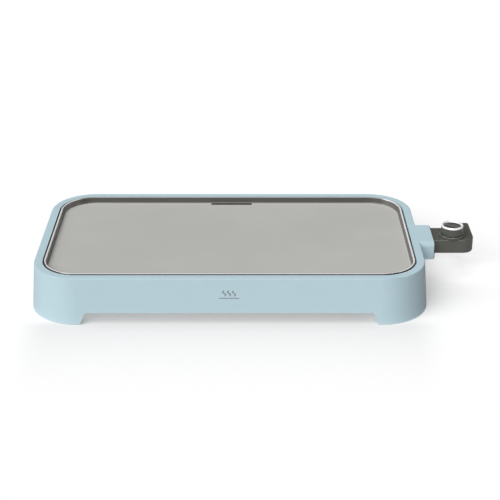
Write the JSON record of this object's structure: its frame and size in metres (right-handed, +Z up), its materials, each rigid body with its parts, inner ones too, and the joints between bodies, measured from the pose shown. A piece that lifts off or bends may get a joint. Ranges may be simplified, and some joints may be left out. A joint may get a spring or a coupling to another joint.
{
  "type": "electric griddle",
  "caption": "Countertop electric griddle with a cool-touch moulded base, coated flat plate, rear drip tray and plug-in thermostat control.",
  "frame": {"origin": "on the table under the middle of the whole griddle, control included", "axes": "+X from the plate towards the plug-in control, +Y towards the back where the drip tray slides out, +Z up"},
  "size_m": [0.633, 0.3168, 0.0814],
  "materials": {
    "base_plastic": "light powder-blue moulding, fine satin texture",
    "liner_plastic": "dark heat-resistant moulding",
    "foot_rubber": "soft grey rubber",
    "plate_coating": "cast aluminium with a light warm-grey ceramic non-stick coating",
    "heater_sheath": "annealed sheath, heat-tinted",
    "pin_metal": "nickel-plated",
    "white_ceramic": "unglazed steatite",
    "bracket_steel": "bright zinc",
    "rivet_aluminium": "plain",
    "zinc_steel": "zinc-plated sheet with a faint spangle",
    "screw_steel": "zinc-plated",
    "shield_aluminium": "mill-finish sheet",
    "tray_plastic": "dark warm-grey moulding",
    "control_plastic": "dark warm-grey moulding, fine texture",
    "black_screw": "blackened",
    "probe_steel": "drawn stainless tube",
    "block_plastic": "brown thermoset moulding",
    "sleeve_brass": "tinned brass",
    "leaf_bronze": "spring bronze",
    "lens_amber": "clear tinted amber-red",
    "lamp_glass": "clear",
    "gland_rubber": "black, smooth",
    "dial_plastic": "satin, with pale printed marks",
    "knob_plastic": "smooth dark grey",
    "ring_chrome": "bright satin plated",
    "shaft_brass": "turned",
    "clip_steel": "spring steel"
  },
  "bodies": {
    "base": {"base_housing": "base_plastic", "hood_liner": "liner_plastic", "foot_pads": "foot_rubber", "griddle_plate": "plate_coating", "heating_element": "heater_sheath", "terminal_pins": "pin_metal", "pin_insulators": "white_ceramic", "terminal_bracket": "bracket_steel", "bracket_rivets": "rivet_aluminium", "brace_left": "zinc_steel", "brace_right": "zinc_steel", "brace_screws": "screw_steel", "plate_spacers": "white_ceramic", "plate_screws": "screw_steel", "shield_standoffs": "zinc_steel", "shield_screws": "screw_steel", "heat_shield": "shield_aluminium", "tray_rail_left": "zinc_steel", "tray_rail_right": "zinc_steel", "rail_screws": "screw_steel"},
    "tray": {"drip_tray": "tray_plastic"},
    "control": {"control_lower_shell": "control_plastic", "control_upper_shell": "control_plastic", "control_screws": "black_screw", "probe": "probe_steel", "terminal_block": "block_plastic", "contact_sleeves": "sleeve_brass", "thermostat_frame": "bracket_steel", "leaf_insulators": "white_ceramic", "fixed_contact_leaf": "leaf_bronze", "moving_contact_leaf": "leaf_bronze", "indicator_lens": "lens_amber", "indicator_lamp": "lamp_glass", "cord_gland": "gland_rubber"},
    "dial": {"dial_skirt": "dial_plastic", "knob": "knob_plastic", "knob_ring": "ring_chrome", "dial_shaft": "shaft_brass", "shaft_circlip": "clip_steel"}
  },
  "joints": [
    {"name": "drip_tray_slide", "type": "slide", "parent": "base", "child": "tray", "axis": [0, 1, 0], "range_m": [0, 0.115]},
    {"name": "control_pull", "type": "slide", "parent": "base", "child": "control", "axis": [1, 0, 0], "range_m": [0, 0.125]},
    {"name": "dial_turn", "type": "hinge", "parent": "control", "child": "dial", "pos_m": [0.2855, 0, 0.065], "axis": [0, 0, 1], "range_deg": [0, 270]}
  ]
}
